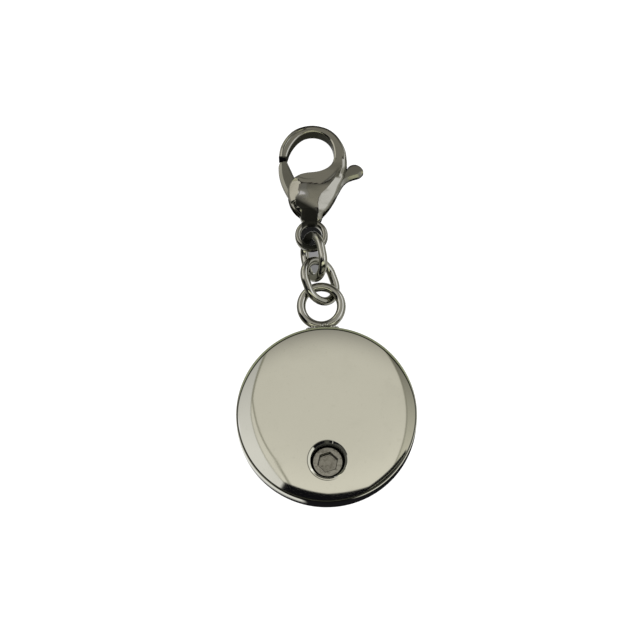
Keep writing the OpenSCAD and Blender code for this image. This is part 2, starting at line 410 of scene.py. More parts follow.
def spline(rows, step):
    """A row between the given rows, on a smooth curve through them."""
    i = min(int(step), len(rows) - 2)
    t = step - i
    near = (rows[max(i - 1, 0)], rows[i], rows[i + 1], rows[min(i + 2, len(rows) - 1)])
    return [
        0.5 * (2 * q + (r - p) * t + (2 * p - 5 * q + 4 * r - s) * t * t + (3 * q - p - 3 * r + s) * t ** 3)
        for p, q, r, s in zip(*near)
    ]


def bezier(a, b, c, t):
    """A point on a curve from a to c that bends towards b."""
    return tuple((1 - t) ** 2 * p + 2 * t * (1 - t) * q + t * t * r for p, q, r in zip(a, b, c))


def mix(a, b, t):
    """A point on the straight line from a to b."""
    return (a[0] + (b[0] - a[0]) * t, a[1] + (b[1] - a[1]) * t)


def on_circle(centre, radius, angle):
    """A point on a circle, at an angle in degrees."""
    turn = math.radians(angle)
    return (centre[0] + radius * math.cos(turn), centre[1] + radius * math.sin(turn))


# Steel finishes


class Nodes:
    """Short ways to add nodes to one tree."""

    def __init__(self, tree):
        self.tree = tree

    def new(self, kind, **values):
        """Adds a shader node with the given inputs set or linked, by input name or number."""
        node = self.tree.nodes.new(f"ShaderNode{kind}")
        for key, value in values.items():
            if not key.startswith("in_"):
                setattr(node, key, value)
                continue
            name = key[3:]
            socket = node.inputs[int(name) if name.isdigit() else name.replace("_", " ")]
            if isinstance(value, bpy.types.NodeSocket):
                self.tree.links.new(value, socket)
            else:
                socket.default_value = value
        return node

    def calc(self, operation, a, b=0.0, c=0.0, clamp=False):
        """A math node's result."""
        return self.new("Math", operation=operation, use_clamp=clamp, in_0=a, in_1=b, in_2=c).outputs[0]

    def add(self, a, b):
        return self.calc("ADD", a, b)

    def less(self, a, b):
        return self.calc("SUBTRACT", a, b)

    def most(self, a, b):
        return self.calc("MAXIMUM", a, b)

    def size(self, a):
        return self.calc("ABSOLUTE", a)

    def line(self, a, factor, b):
        """a times factor, plus b."""
        return self.calc("MULTIPLY_ADD", a, factor, b)

    def both(self, first, *others):
        """The product of two or more values or masks."""
        for other in others:
            first = self.calc("MULTIPLY", first, other)
        return first

    def step(self, value, low, high, start_at=0.0, end_at=1.0):
        """A smooth step from start_at to end_at as value goes from low to high."""
        return self.new("MapRange", interpolation_type="SMOOTHSTEP", in_0=value, in_1=low, in_2=high,
                        in_3=start_at, in_4=end_at).outputs[0]

    def around(self, value, low, high, start_at=0.0, end_at=1.0):
        """The same step, by how far the value is from zero."""
        return self.step(self.size(value), low, high, start_at, end_at)

    def within(self, *limits):
        """The product of smooth steps."""
        return self.both(*[self.step(*limit) for limit in limits])

    def mix(self, share, a, b):
        """Two colours mixed by a share."""
        return self.new("Mix", data_type="RGBA", in_0=share, in_6=a, in_7=b).outputs[2]

    def place(self):
        """The object's own coordinates."""
        return self.new("TexCoord").outputs["Object"]

    def local(self, place, at, size, turn=(0.0, 0.0, 0.0)):
        """Coordinates in a frame that lies at a place in millimetres, with its own size and turn."""
        return self.new("Mapping", vector_type="TEXTURE", in_Vector=place, in_Scale=size, in_Rotation=turn,
                        in_Location=[c * MM for c in at]).outputs[0]

    def parts(self, vector):
        return self.new("SeparateXYZ", in_0=vector).outputs

    def flat(self, parts):
        """A place without its height."""
        return self.new("CombineXYZ", in_0=parts[0], in_1=parts[1]).outputs[0]

    def vector(self, operation, a, b=(0.0, 0.0, 0.0)):
        """A vector math node's number."""
        return self.new("VectorMath", operation=operation, in_0=a, in_1=b).outputs["Value"]

    def noise(self, place, scale, detail, distortion=0.0):
        return self.new("TexNoise", in_Vector=place, in_Scale=scale, in_Detail=detail,
                        in_Distortion=distortion).outputs["Fac"]

    def metal(self, colour, roughness, height, relief):
        """The metal that ends a material, with a small relief in millimetres."""
        bump = self.new("Bump", in_Strength=1.0, in_Distance=relief * MM, in_Height=height).outputs[0]
        shader = self.new("BsdfPrincipled", in_Metallic=1.0, in_Base_Color=colour, in_Roughness=roughness,
                          in_Normal=bump)
        self.new("OutputMaterial", in_0=shader.outputs[0])

    def base_colour(self):
        """The metal's colour socket and what feeds it."""
        shader = next(node for node in self.tree.nodes if node.type == "BSDF_PRINCIPLED")
        socket = shader.inputs["Base Color"]
        return shader, socket, socket.links[0].from_socket


def new_material(name):
    """A material without nodes, and its nodes' short ways."""
    material = bpy.data.materials.new(name)
    material.use_nodes = True
    material.node_tree.nodes.clear()
    return material, Nodes(material.node_tree)


def polish_group():
    """Node group of a handled polish: hairlines, faint smudges and a soft waviness, made once."""
    name = "handled_polish"
    if name in bpy.data.node_groups:
        return bpy.data.node_groups[name]
    group = bpy.data.node_groups.new(name, "ShaderNodeTree")
    sockets = group.interface
    for label, default in (("Steel", (0.6, 0.6, 0.6, 1)), ("Stain", (0.3, 0.28, 0.2, 1)), ("Roughness", 0.1),
                           ("Smudges", 0.1), ("Hairlines", 0.3), ("Waviness", 0.3)):
        kind = "NodeSocketFloat" if isinstance(default, float) else "NodeSocketColor"
        sockets.new_socket(name=label, in_out="INPUT", socket_type=kind).default_value = default
    for label, kind in (("Colour", "Color"), ("Roughness", "Float"), ("Height", "Float")):
        sockets.new_socket(name=label, in_out="OUTPUT", socket_type=f"NodeSocket{kind}")
    n = Nodes(group)
    given = group.nodes.new("NodeGroupInput").outputs
    result = group.nodes.new("NodeGroupOutput").inputs
    place = n.place()
    smudge = n.step(n.noise(place, 260.0, 4.0, 0.6), 0.5, 0.75)
    speck = n.step(n.noise(place, 1900.0, 3.0), 0.62, 0.72)
    stained = n.calc("MULTIPLY", n.add(smudge, speck), given["Smudges"], clamp=True)
    hairs = []
    for turn, scale, low in ((0.7, (900.0, 14000.0, 3000.0), 0.6), (-0.5, (700.0, 11000.0, 2500.0), 0.62)):
        turned = n.new("Mapping", in_Vector=place, in_Rotation=(0.0, 0.0, turn), in_Scale=scale).outputs[0]
        hairs.append(n.step(n.noise(turned, 1.0, 2.0), low, 0.7))
    lines = n.both(n.add(*hairs), n.both(given["Hairlines"], -1.0))
    wave = n.both(n.noise(place, 420.0, 1.0), given["Waviness"])
    dull = n.both(smudge, given["Smudges"], 0.5)
    for label, value in (("Colour", n.mix(stained, given["Steel"], given["Stain"])),
                         ("Roughness", n.calc("ADD", given["Roughness"], dull, clamp=True)),
                         ("Height", n.add(lines, wave))):
        group.links.new(value, result[label])
    return group


def steel(kind, colour, stain):
    """A polished steel, with its own values of the shared polish."""
    roughness, smudges, hairlines, waviness, relief = POLISH[kind]
    material, n = new_material(f"{kind}_polish")
    polish = n.new("Group", node_tree=polish_group(), in_Steel=colour, in_Stain=stain, in_Roughness=roughness,
                   in_Smudges=smudges, in_Hairlines=hairlines, in_Waviness=waviness).outputs
    n.metal(polish["Colour"], polish["Roughness"], polish["Height"], relief)
    return material, n


def paint_shade(n, mask, shade_colour):
    """Paints shade: mixes a dull dark colour into a steel's colour, metal and reflections, by a mask."""
    shader, _, polished = n.base_colour()
    for label, value in (("Base Color", n.mix(mask, polished, shade_colour)),
                         ("Specular Tint", n.mix(mask, WHITE, shade_colour)),
                         ("Metallic", n.step(mask, 0.0, 1.0, 1.0, 0.3)),
                         ("Specular IOR Level", n.step(mask, 0.0, 1.0, 0.5, 0.0))):
        n.tree.links.new(value, shader.inputs[label])


def disc_steel(context):
    """The disc's polish, with painted dark lines and an olive painted reflection on its rim, painted shade in
    its bore, and the chain's steel on its ring.
    """
    disc, finish = context.scene.charm_disc, context.scene.charm_finish
    material, n = steel("disc", finish.disc, finish.stain)
    radius, bore_r, thick = disc.diameter / 2, disc.bore / 2, disc.thickness
    parts = n.parts(n.place())
    x, y = parts[0], parts[1]
    flat = n.flat(parts)
    from_middle = n.vector("LENGTH", flat)
    from_bore = n.vector("DISTANCE", flat, (BORE_AT[0] * MM, BORE_AT[1] * MM, 0.0))

    # The painted dark line inside the rim, which widens to the back, and outside it an olive band on the back
    # of the rim, a painted reflection in place of the mirror's own
    band = n.step(y, 0.0, 6 * MM, 0.14 * MM, 0.34 * MM)
    past_line = n.add(n.less(from_middle, radius), band)
    on_top = n.step(parts[2], thick - 0.8 * MM, thick - 0.6 * MM)
    rim = n.both(n.around(past_line, 0.1 * MM, 0.06 * MM), on_top)
    olive_reflection = n.both(n.step(past_line, 0.03 * MM, 0.08 * MM), on_top, n.step(y, -1 * MM, 4 * MM),
                   n.step(from_middle, radius + 0.04 * MM, radius + 0.01 * MM))

    # The painted shade in the bore, which reaches further on the right, and the painted dark line round its
    # mouth on the left
    reach = n.less(from_bore, n.step(x, 0.3 * MM, 1.6 * MM, 0.0, 0.22 * MM))
    bore = n.step(reach, bore_r + 0.03 * MM, bore_r + 0.01 * MM)
    from_mouth = n.less(from_bore, bore_r + (disc.mouth - 0.02 * MM))
    mouth = n.both(n.step(x, 1.2 * MM, -0.3 * MM), n.around(from_mouth, 0.08 * MM, 0.03 * MM))

    _, socket, polished = n.base_colour()
    on_ring = n.step(from_middle, radius + 0.02 * MM, radius + 0.06 * MM)
    polished = n.mix(on_ring, polished, finish.link)
    # Paints the dark edge lines, then the shade in the bore and the olive reflection on the rim
    lines = n.most(n.both(rim, 0.93), n.both(mouth, 0.7))
    n.tree.links.new(n.mix(lines, polished, PAINTED_EDGE_SHADE), socket)
    paint_shade(n, n.most(n.both(bore, 0.9), n.both(olive_reflection, 0.95)), n.mix(olive_reflection, DARK_PAINTED_SHADE, OLIVE_PAINTED_REFLECTION))
    return material


def plug_steel(context):
    """A machined steel with turning rings about the plug's axis and a random mottle, with dark painted shade
    on its chamfer and socket walls and a lighter painted shade on its socket floor.
    """
    plug = context.scene.charm_plug
    material, n = new_material("turned_plug")
    centred = n.new("Mapping", in_Vector=n.place(),
                    in_Location=(-BORE_AT[0] * MM, -BORE_AT[1] * MM, 0.0)).outputs[0]
    rings = n.new("TexWave", wave_type="RINGS", rings_direction="Z", in_Vector=centred, in_Scale=1500.0,
                  in_Distortion=1.2, in_Detail=2.0).outputs["Fac"]
    grain = n.noise(centred, 3000.0, 3.0)
    mottle = n.step(grain, 0.45, 0.7)
    flat = n.flat(n.parts(centred))
    walls = 0.0
    for i in range(3):
        across = plug.turn + math.radians(30 + 60 * i)
        along = n.vector("DOT_PRODUCT", flat, (math.cos(across), math.sin(across), 0.0))
        walls = n.most(n.size(along), walls)
    # Painted shade: dark on the socket's walls and the plug's chamfer, lighter on the socket's floor
    wall = n.around(n.less(walls, plug.across / 2), 0.07 * MM, 0.02 * MM)
    inside = n.step(walls, plug.across / 2, plug.across / 2 - 0.01 * MM)
    chamfer = n.step(n.vector("LENGTH", flat), 1.58 * MM, 1.63 * MM)
    shade = n.mix(n.both(mottle, 0.7), context.scene.charm_finish.plug, TURNED_MOTTLE_AND_SHADE)
    shade = n.mix(n.both(inside, 0.3), shade, TURNED_MOTTLE_AND_SHADE)
    shade = n.mix(n.most(wall, chamfer), shade, SOCKET_PAINTED_SHADE)
    n.metal(shade, n.add(n.both(mottle, 0.12), 0.3), n.add(n.both(rings, 0.6), grain), 0.004)
    return material


def link_steel(context):
    """The links' polish, with painted shade on the upper link where it lies in the clasp's eye."""
    finish = context.scene.charm_finish
    material, n = steel("link", finish.link, finish.stain)
    # Painted shade on the upper link inside the clasp's eye
    eye_shade_place = n.parts(n.local(n.place(), (-1.4, 20.5, 0.0), (0.95 * MM, 0.95 * MM, 1.0)))
    away = n.vector("LENGTH", n.flat(eye_shade_place))
    paint_shade(n, n.both(n.step(away, 1.15, 0.75), 0.95), BLACK_PAINTED_SHADE)
    return material


def clasp_steel(context):
    """The clasp's polish, with painted shade inside the hook, along its left arm, at the neck and on the
    throat.
    """
    finish = context.scene.charm_finish
    material, n = steel("clasp", finish.clasp, finish.stain)
    turn = (math.radians(CLASP_DIP), 0.0, math.radians(CLASP_TURN))
    own = n.local(n.place(), CLASP_AT, (MM, MM, MM), turn)
    parts = n.parts(own)
    x, y, z = parts[0], parts[1], parts[2]
    flat = n.flat(parts)

    # Painted shade on the hook's inner wall, and a painted dark line along the front of its left arm
    wall = n.both(n.step(n.vector("DISTANCE", flat, HOOK_MIDDLE), 2.85, 2.75), n.around(z, 0.92, 0.84))
    off_arm_shade = n.less(n.vector("DISTANCE", flat, ARM_SHADE_MIDDLE), ARM_SHADE_R)
    arm_shade_line = n.both(n.step(x, 0.8, -1.2, 0.0, 0.75), n.around(off_arm_shade, 0.09, 0.03), n.step(z, 0.5, 0.7))

    # Painted shade on the neck over the eye, and on the throat above it, between the shell's creases
    neck = n.new("Mapping", vector_type="TEXTURE", in_Vector=flat, in_Location=NECK_AT,
                 in_Scale=NECK_SIZE).outputs[0]
    above = n.most(n.less(y, 2.85), 0.0)
    throat = n.within((n.line(x, 0.6, y), 3.75, 2.85), (n.line(above, 1.05, x), -1.2, -1.0),
                      (x, -1.85, -1.65), (x, 0.74, 0.64), (z, 0.3, 0.5))
    in_neck = n.most(n.step(n.vector("LENGTH", neck), 1.3, 0.6), throat)
    painted_shade = n.most(arm_shade_line, n.most(wall, in_neck))
    paint_shade(n, n.both(painted_shade, 0.95), n.mix(in_neck, DARK_PAINTED_SHADE, BLACK_PAINTED_SHADE))
    return material


# Shapes of the pieces


def disc_profile(settings):
    """(radius, height) from the top of the rim's wall over the edge and the domed face towards the centre."""
    radius, thick, slope = settings.diameter / MM / 2, settings.thickness / MM, settings.face_slope
    face_end = radius - settings.edge_radius / MM * (1 - math.sin(slope))
    rise = face_end * math.tan(slope) / 4
    wide, tight, meet = EDGE_WIDE, EDGE_TIGHT, EDGE_MEET
    start_r = radius - wide * (1 - math.sin(meet)) - tight * (math.sin(meet) - math.sin(slope))

    def face_z(at):
        return thick - rise * (at / face_end) ** 4

    edge_z = face_z(start_r) - tight * (math.cos(slope) - math.cos(meet)) - wide * math.cos(meet)
    points = []
    for t in parts_of(10, 0):
        turn = math.pi / 2 + (meet - math.pi / 2) * t
        points.append((radius - wide * (1 - math.sin(turn)), edge_z + wide * math.cos(turn)))
    meet_r, meet_z = points[-1]
    for t in parts_of(8):
        turn = meet + (slope - meet) * t
        points.append((meet_r - tight * (math.sin(meet) - math.sin(turn)),
                       meet_z + tight * (math.cos(turn) - math.cos(meet))))
    inwards = [start_r * (1 - t) for t in parts_of(FACE_STEPS)[:-1]]
    return points + [(at, face_z(at)) for at in inwards]


def clasp_marks(step, left, right):
    """Shares along a row at which the left and right creases of the shell cross it."""
    low, high = 0.3, 0.7
    if step < FIRST_HOOK_ROW:
        span = right[0] - left[0]
        fade = ease(FIRST_HOOK_ROW - 3, FIRST_HOOK_ROW, step)
        on_left = (between(LEFT_CREASE, left[1]) - left[0]) / span
        on_right = (between(RIGHT_CREASE, right[1]) - left[0]) / span
        low, high = on_left + (low - on_left) * fade, on_right + (high - on_right) * fade
    low = min(0.45, max(0.05, low))
    return low, min(0.88, max(low + 0.12, high))


def face_height(x, y, share, low, high, edge, width):
    """Height of the clasp's front face: flat on the hook, with facets about a raised pillow on the shell."""
    flat = HOOK_HALF + 0.04 * ease(8.6, 7.4, y)
    if y > 8.9:
        return min(flat, HOOK_HALF)
    pillow = curve(PILLOW, y + 0.3 * (x - 0.1) * ease(2.8, 3.8, y) * ease(5.6, 4.8, y))
    top = curve(TOP_CREASE, x) - y
    rise = ease(-0.03, 0.13 + 0.3 * ease(1.2, 2.4, x), top)

    # The facets to the left and right of the pillow
    facet = min(edge + 0.43 * low * width, 1.22)
    left_top = facet + (pillow - 0.44 - facet) * ease(4.1, 3.4, y)
    left_top = max(left_top * rise + min(flat, 1.16) * (1 - rise), edge + 0.01)
    if share < low:
        return edge + (left_top - edge) * share / low
    if share > high:
        right_top = (pillow - 0.05) * rise + flat * (1 - rise)
        edge += 0.12 * ease(3.4, 4.6, y) * ease(7.6, 6.6, y)
        return edge + (right_top - edge) * (1 - share) / (1 - high)

    # The pillow, which bends down to the left and rolls over at its sides
    middle = (low + high) / 2
    across = (share - middle) / (high - middle)
    inner = max(0, 0.1 - x)
    reach = PILLOW_REACH
    bend = (PILLOW_SLOPE - 0.2 * ease(4.6, 3.8, y)) / reach
    fall = bend * (inner ** 2 / 2 if inner < reach else reach * (inner - reach / 2))
    fall += (0.3 * ease(3.9, 3.2, y) if across < 0 else 0.05) * abs(across) ** 2.6
    raised = pillow - fall * ease(1.5, 3.2, y)
    step = ease(0, 0.1, (share - low) * 4) * (raised - left_top) + left_top if across < 0 else raised
    return flat + (max(step, flat) - flat) * rise if top < 0.3 and y > 5 else step


def clasp_ring(step, row):
    """One closed row of points round the clasp's body, front then back."""
    left, right, edge = Vector(row[0:2]), Vector(row[2:4]), row[4]
    width = (right - left).length
    low, high = clasp_marks(step, row[0:2], row[2:4])
    rim = [depth / width for depth, drop in RIM_DROP]
    tip = [depth / width for depth, drop in TIP_DROP]
    near = max(low, rim[-1] + 0.01)
    far = min(max(high, near + 0.07), 0.99 - tip[-1])
    shares = list(rim)
    for a, b, count in ((rim[-1], near, 7), (near, near + 0.03, 3), (near + 0.03, far - 0.02, 22),
                        (far - 0.02, far, 2), (far, 1 - tip[-1], 9)):
        shares += [a + (b - a) * t for t in parts_of(count)]
    shares += [1 - share for share in reversed(tip[:-1])]
    scale = 0.5 + 0.5 * ease(0.72, 1.0, edge)
    ridge = ease(19.5, 22, step)
    front = []
    for share in shares:
        x, y = left.lerp(right, share)
        depth = (1 - share) * width
        drop = between(RIM_DROP, min(share, 1 - share) * width) * scale
        if share > 0.45:
            drop += (between(TIP_DROP, depth) - drop) * ridge
            if x > 2:
                tail = ease(6.6, 7.4, y) * ease(9.9, 8.2, y)
                drop += tail * (0.43 * max(0, 0.55 - depth) + 0.25 * max(0, 0.2 - depth))
        else:
            drop += 0.095 * ridge
        front.append((x, y, face_height(x, y, share, low, high, edge, width) - drop))
    down = [1 - 2 * t for t in parts_of(WALL_STEPS)[:-1]]
    ring = front + [(*right, front[-1][2] * level) for level in down]
    ring += [(x, y, -z) for x, y, z in reversed(front)]
    return ring + [(*left, -front[0][2] * level) for level in down]


def clasp_rings():
    """All rows of the clasp's body, close together on the shell and wider apart round the hook."""
    hook_rows = len(CLASP_ROWS) - 1 - FIRST_HOOK_ROW
    steps = [FIRST_HOOK_ROW * t for t in parts_of(SHELL_STEPS, 0)]
    steps += [FIRST_HOOK_ROW + hook_rows * t for t in parts_of(HOOK_STEPS)]
    return [clasp_ring(step, spline(CLASP_ROWS, step)) for step in steps]


def slot_outline():
    """Outline of the slot that is milled through the shell for the lever."""
    head_x, head_y = on_circle(HEAD_AT, HEAD_R, HEAD_LEFT)

    def roof(x):
        return head_y + (x - head_x) * TAB_RISE + ROOF_GAP

    exit_y = roof(SLOT_EXIT_X)
    return [(-5, SLOT_FOOT), (8, SLOT_FOOT), (8, exit_y + 1.4), (SLOT_EXIT_X + 0.7, exit_y + 1.4),
            (SLOT_EXIT_X, exit_y), (SLOT_TURN_X, roof(SLOT_TURN_X)), *SLOT_LEFT]


def lever_rows():
    """Outer and inner edge of the lever, from the gate's blunt end round the hub to the tab's round head."""
    hub_left, hub_right = on_circle(PIVOT, HUB_R, HUB_FROM), on_circle(PIVOT, HUB_R, HUB_TO)
    rows = [(outer, mix(GATE_INNER, GATE_FOOT, share)) for outer, share in GATE_END]
    for t in parts_of(24, 0):
        outer = bezier(GATE_TIP, (-3.8, 5.9), hub_left, t)
        rows.append((outer, mix(GATE_INNER, GATE_FOOT, 0.06 + 0.94 * t)))
    for t in parts_of(12):
        hub_at = on_circle(PIVOT, HUB_R, HUB_FROM + (HUB_TO - HUB_FROM) * t)
        rows.append((hub_at, mix(GATE_FOOT, TAB_FOOT, t)))
    for t in parts_of(16):
        rows.append((bezier(hub_right, (2.4, 3.5), TAB_BEND, t), mix(TAB_FOOT, TAB_TOP, 0.7 * t)))
    for t in parts_of(10):
        outer = bezier(TAB_BEND, (3.75, 6.35), TAB_UNDER[0], t)
        rows.append((outer, mix(TAB_FOOT, TAB_TOP, 0.7 + 0.3 * t)))
    return rows + [(spline(TAB_UNDER, i / 3), spline(TAB_OVER, i / 3)) for i in range(1, 25)]


def lever_ring(outer, inner, half, bevel):
    """One closed row of points round the lever: a broad bevel along its outer edge, a small one inside."""
    a, b = Vector(outer), Vector(inner)
    width = (b - a).length
    share = min(1, width / 1.2)
    rise = 0.48 + 0.05 * ease(0, 3, outer[0])
    deep = bevel * rise
    broad = [(0, deep + 0.07), (0.01, deep + 0.035), (0.02, deep + 0.01)]
    broad += [(depth, (bevel - depth) * rise) for depth in (0.035, 0.05, bevel - 0.05, bevel - 0.03)]
    broad += [(bevel - 0.015, 0.009), (bevel, 0.003), (bevel + 0.03, 0)]
    edge = [(depth * share, half - drop * share) for depth, drop in broad]
    far = [(width - depth * share, half - drop * share) for depth, drop in reversed(LEVER_INNER_EDGE)]
    low, high = edge[-1][0], far[0][0]
    middle = [(low + (high - low) * t, half) for t in parts_of(6)[:-1]]
    ring = [(*a.lerp(b, depth / width), z) for depth, z in edge + middle + far]
    return ring + [(x, y, -z) for x, y, z in reversed(ring)]


# Settings that a user would change


def length(name, about, default):
    return bpy.props.FloatProperty(name=name, description=about, default=default, unit="LENGTH", precision=5)


def angle(name, about, degrees):
    return bpy.props.FloatProperty(name=name, description=about, default=math.radians(degrees),
                                   subtype="ANGLE")


def colour(name, about, default):
    return bpy.props.FloatVectorProperty(name=name, description=about, default=default, subtype="COLOR",
                                         size=4, min=0, max=1)


class DiscSettings(bpy.types.PropertyGroup):
    diameter: length("Diameter", "Diameter of the disc", 0.020)
    thickness: length("Thickness", "Thickness of the disc at its centre", 0.0037)
    face_slope: angle("Face slope", "Slope of the domed face where its edge starts to round off", 12.6)
    edge_radius: length("Edge radius", "Radius of the rounding between the face and the rim", 0.0005)
    under_edge: length("Under edge radius", "Radius of the rounding under the rim", 0.0006)
    bore: length("Bore", "Diameter of the plug's bore", 0.00384)
    mouth: length("Mouth", "Width of the chamfer round the bore", 0.00034)
    ring_diameter: length("Ring diameter", "Outside diameter of the soldered ring", 0.00548)
    ring_wire: length("Ring wire", "Wire of the soldered ring", 0.001)


class PlugSettings(bpy.types.PropertyGroup):
    gap: length("Gap", "Radial clearance of the plug in its bore", 0.00004)
    bottom: length("Bottom", "Height of the plug's underside", 0.0012)
    top: length("Top", "Height of the plug's upper face", 0.0027)
    across: length("Socket", "Width of the hex socket across its flats", 0.002)
    depth: length("Socket depth", "Depth of the hex socket", 0.0008)
    turn: angle("Socket turn", "Turn of the hex socket", 15)


class LinkSettings(bpy.types.PropertyGroup):
    wire: length("Wire", "Wire of the oval links", 0.00095)
    radius: length("End radius", "Radius of a link's round ends, to the middle of the wire", 0.002)
    straight: length("Straight side", "Length of a link's straight sides", 0.0008)


class ClaspSettings(bpy.types.PropertyGroup):
    eye_diameter: length("Eye diameter", "Outside diameter of the eye", 0.00368)
    eye_thickness: length("Eye thickness", "Thickness of the eye", 0.0011)
    eye_rim: length("Eye rim", "Width of the eye's rim", 0.00065)
    slot: length("Slot", "Width of the slot for the lever", 0.00114)
    lever: length("Lever", "Thickness of the lever", 0.001)
    lever_bevel: length("Lever bevel", "Width of the bevel along the lever's outer edge", 0.0004)


class FinishSettings(bpy.types.PropertyGroup):
    disc: colour("Disc steel", "Colour of the disc's polished steel", (0.635, 0.627, 0.543, 1))
    link: colour("Link steel", "Colour of the ring's and links' steel", (0.3, 0.295, 0.255, 1))
    clasp: colour("Clasp steel", "Colour of the clasp's steel", (0.21, 0.204, 0.17, 1))
    lever: colour("Lever steel", "Colour of the clasp lever's steel", (0.145, 0.143, 0.12, 1))
    plug: colour("Plug steel", "Colour of the screw plug's turned steel", (0.3, 0.29, 0.25, 1))
    stain: colour("Stain", "Colour of smudges in the polish", (0.12, 0.115, 0.08, 1))


class StageSettings(bpy.types.PropertyGroup):
    azimuth: angle("Azimuth", "Turn of the camera about the charm", -2.66)
    elevation: angle("Elevation", "Camera's height above the horizon", 75)
    distance: length("Distance", "Distance from the camera to the charm", 0.4)
    lens: bpy.props.FloatProperty(name="Lens", description="Focal length in millimetres", default=201.71)
    aim: bpy.props.FloatVectorProperty(
        name="Aim", description="Point that the camera looks at", default=(-0.000209, 0.011141, 0.0016),
        subtype="TRANSLATION", unit="LENGTH", precision=5)
    floor: colour("Floor", "Colour of the pale floor", (1.0, 1.0, 1.0, 1))


# One operator for each piece or group of like pieces


class CHARM_OT_disc(bpy.types.Operator):
    """Turns the domed disc, drills its bore and solders the ring on"""

    bl_idname = "charm.disc"
    bl_label = "Disc with ring"

    def execute(self, context):
        s = context.scene.charm_disc
        profile = disc_profile(s)
        radius, wall_top = profile[0]
        disc = cylinder(256, radius, wall_top, (0, 0, wall_top / 2))
        pick(disc, "EDGE", lambda e: all(v.co.z < 0 for v in e.verts))
        bpy.ops.mesh.bevel(offset=s.under_edge / MM, segments=12, profile=0.5, affect="EDGES")
        place_mesh(disc)
        bpy.ops.object.mode_set(mode="EDIT")
        pick(disc, "FACE", lambda f: f.normal.z > 0.9 and f.calc_center_median().z > wall_top - 0.01)
        raise_face(profile)
        bpy.ops.mesh.merge(type="CENTER")
        tidy_normals(disc)

        bore_r, mouth, thick = s.bore / MM / 2, s.mouth / MM, s.thickness / MM
        bottom = context.scene.charm_plug.bottom / MM - PLUG_SEAT_GAP
        for r, depth, z in ((bore_r, thick, bottom + thick / 2),
                            (bore_r - POCKET_STEP, 2 * POCKET_DEPTH, bottom)):
            combine(disc, cylinder(128, r, depth, (*BORE_AT, z)))
        cone_r, deep = bore_r - 0.002, mouth * MOUTH_SLOPE
        cone = cylinder(128, cone_r, 0.02, (0, 0, -0.01))
        pick(cone, "FACE", lambda f: f.normal.z > 0.9)
        raise_face([(cone_r, 0), (bore_r + mouth, deep), (bore_r + mouth + 0.05, deep + 0.02),
                    (bore_r + mouth + 0.1, 0.4)])
        object_mode()
        cone.matrix_world = (Matrix.Translation((*BORE_AT, thick - MOUTH_DROP - deep))
                             @ Matrix.Rotation(math.radians(MOUTH_LEAN), 4, "X"))
        combine(disc, cone)

        wire, ring_r = s.ring_wire / MM, s.ring_diameter / MM / 2
        ring = start("torus", major_segments=144, minor_segments=48, major_radius=ring_r - wire / 2,
                     minor_radius=wire / 2, location=(0, radius - RING_SINK + ring_r, RING_MID_Z))
        for middle, half_sizes in BEADS:
            bead = start("uv_sphere", segments=40, ring_count=20, radius=1)
            bead.location, bead.scale = middle, half_sizes
            combine(ring, bead, "UNION")
        combine(disc, ring, "UNION")
        finish_piece(disc, "charm_disc", "charm", "disc_body", disc_steel(context))
        return {"FINISHED"}


class CHARM_OT_plug(bpy.types.Operator):
    """Turns the screw plug and broaches its hex socket"""

    bl_idname = "charm.plug"
    bl_label = "Screw plug"

    def execute(self, context):
        s = context.scene.charm_plug
        bottom, top, depth, across = s.bottom / MM, s.top / MM, s.depth / MM, s.across / MM
        radius = context.scene.charm_disc.bore / MM / 2 - s.gap / MM
        plug = cylinder(128, radius, top - bottom, (*BORE_AT, (top + bottom) / 2))
        pick(plug, "EDGE", lambda e: abs(e.verts[0].co.z - e.verts[1].co.z) < 1e-4)
        bpy.ops.mesh.bevel(offset=PLUG_BEVEL, segments=5, profile=0.5, affect="EDGES")
        place_mesh(plug)
        corner_r = across / 2 / math.cos(math.pi / 6)
        corners = [on_circle(BORE_AT, corner_r, math.degrees(s.turn) + 60 * i) for i in range(6)]
        combine(plug, prism(corners, top - depth, top + 0.2))
        drill_r, drill_z = across / 2 * DRILL_SHARE, top - depth - DRILL_CONE / 2 + 0.01
        combine(plug, start("cone", vertices=96, radius1=drill_r, radius2=0, depth=DRILL_CONE,
                            location=(*BORE_AT, drill_z), rotation=(math.pi, 0, 0)))
        finish_piece(plug, "hex_plug", "plug", "screw_plug", plug_steel(context))
        return {"FINISHED"}


class CHARM_OT_links(bpy.types.Operator):
    """Bends the two oval links and hangs them in each other"""

    bl_idname = "charm.links"
    bl_label = "Oval links"

    def execute(self, context):
        s = context.scene.charm_link
        metal = link_steel(context)
        for name, (node, place, *turns) in LINKS.items():
            link = start("torus", major_segments=160, minor_segments=48, major_radius=s.radius / MM,
                         minor_radius=s.wire / MM / 2)
            pull_apart(link, 1, s.straight / MM / 2)
            link.matrix_world = Matrix.Translation(place)
            for turn, axis in zip(turns, "ZXY"):
                link.matrix_world = link.matrix_world @ Matrix.Rotation(math.radians(turn), 4, axis)
            finish_piece(link, name, "charm", node, metal)
        return {"FINISHED"}


class CHARM_OT_clasp(bpy.types.Operator):
    """Casts the clasp's eye, shell and hook as one and mills the slot for its lever"""

    bl_idname = "charm.clasp"
    bl_label = "Clasp body"

    def execute(self, context):
        s = context.scene.charm_clasp
        body = loft(clasp_rings())
        rim = s.eye_rim / MM
        eye = start("torus", major_segments=96, minor_segments=32, minor_radius=rim / 2,
                    major_radius=(s.eye_diameter / MM - rim) / 2)
        pull_apart(eye, 2, (s.eye_thickness / MM - rim) / 2)
        combine(body, eye, "UNION")
        half = s.slot / MM / 2
        combine(body, prism(slot_outline(), -half, half))
        body.matrix_world = clasp_place()
        finish_piece(body, "clasp_hook", "charm", "clasp_body", clasp_steel(context))
        return {"FINISHED"}


